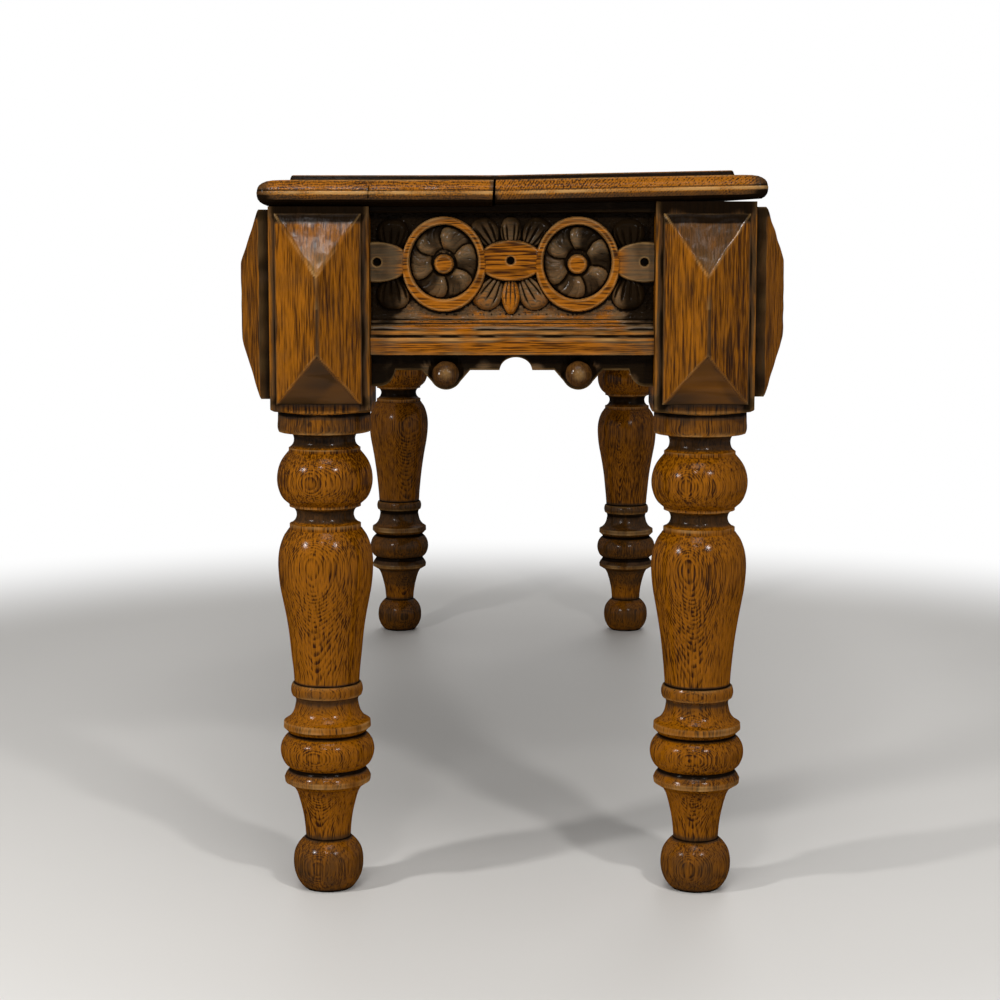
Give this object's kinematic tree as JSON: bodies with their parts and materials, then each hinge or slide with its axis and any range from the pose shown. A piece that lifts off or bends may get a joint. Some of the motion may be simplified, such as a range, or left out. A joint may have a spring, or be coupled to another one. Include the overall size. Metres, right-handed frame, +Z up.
{
  "type": "hall bench",
  "caption": "Oblong wooden hall bench with a two-board moulded seat, turned legs under square blocks, carved rails and hipped bosses.",
  "frame": {"origin": "on the floor under the middle of the bench", "axes": "+X along the bench towards its right end seen from the front, +Y towards its rear, +Z up"},
  "size_m": [1.1166, 0.3746, 0.5044],
  "materials": {
    "polished_oak": "waxed dark oak with worn pale edges",
    "dark_oak": "dark waxed oak",
    "unpolished_oak": "bare sawn oak",
    "iron": "dull dark iron"
  },
  "bodies": {
    "root": {"bearer_left": "unpolished_oak", "bearer_right": "unpolished_oak", "boss_front_left": "polished_oak", "boss_front_right": "polished_oak", "boss_left_front": "polished_oak", "boss_left_rear": "polished_oak", "boss_rear_left": "polished_oak", "boss_rear_right": "polished_oak", "boss_right_front": "polished_oak", "boss_right_rear": "polished_oak", "drop_ball_front_01": "dark_oak", "drop_ball_front_02": "dark_oak", "drop_ball_front_03": "dark_oak", "drop_ball_front_04": "dark_oak", "drop_ball_front_05": "dark_oak", "drop_ball_front_06": "dark_oak", "drop_ball_front_07": "dark_oak", "drop_ball_front_08": "dark_oak", "drop_ball_front_09": "dark_oak", "drop_ball_front_10": "dark_oak", "drop_ball_left_01": "dark_oak", "drop_ball_left_02": "dark_oak", "drop_ball_rear_01": "dark_oak", "drop_ball_rear_02": "dark_oak", "drop_ball_rear_03": "dark_oak", "drop_ball_rear_04": "dark_oak", "drop_ball_rear_05": "dark_oak", "drop_ball_rear_06": "dark_oak", "drop_ball_rear_07": "dark_oak", "drop_ball_rear_08": "dark_oak", "drop_ball_rear_09": "dark_oak", "drop_ball_rear_10": "dark_oak", "drop_ball_right_01": "dark_oak", "drop_ball_right_02": "dark_oak", "glue_block_front": "unpolished_oak", "glue_block_left": "unpolished_oak", "glue_block_rear": "unpolished_oak", "glue_block_right": "unpolished_oak", "leg_front_left": "polished_oak", "leg_front_right": "polished_oak", "leg_rear_left": "polished_oak", "leg_rear_right": "polished_oak", "moulding_front": "polished_oak", "moulding_left": "polished_oak", "moulding_rear": "polished_oak", "moulding_right": "polished_oak", "rail_front": "polished_oak", "rail_left": "polished_oak", "rail_rear": "polished_oak", "rail_right": "polished_oak", "screw_front_left": "iron", "screw_front_right": "iron", "screw_rear_left": "iron", "screw_rear_right": "iron", "seat_board_front": "polished_oak", "seat_board_rear": "polished_oak"}
  },
  "joints": []
}
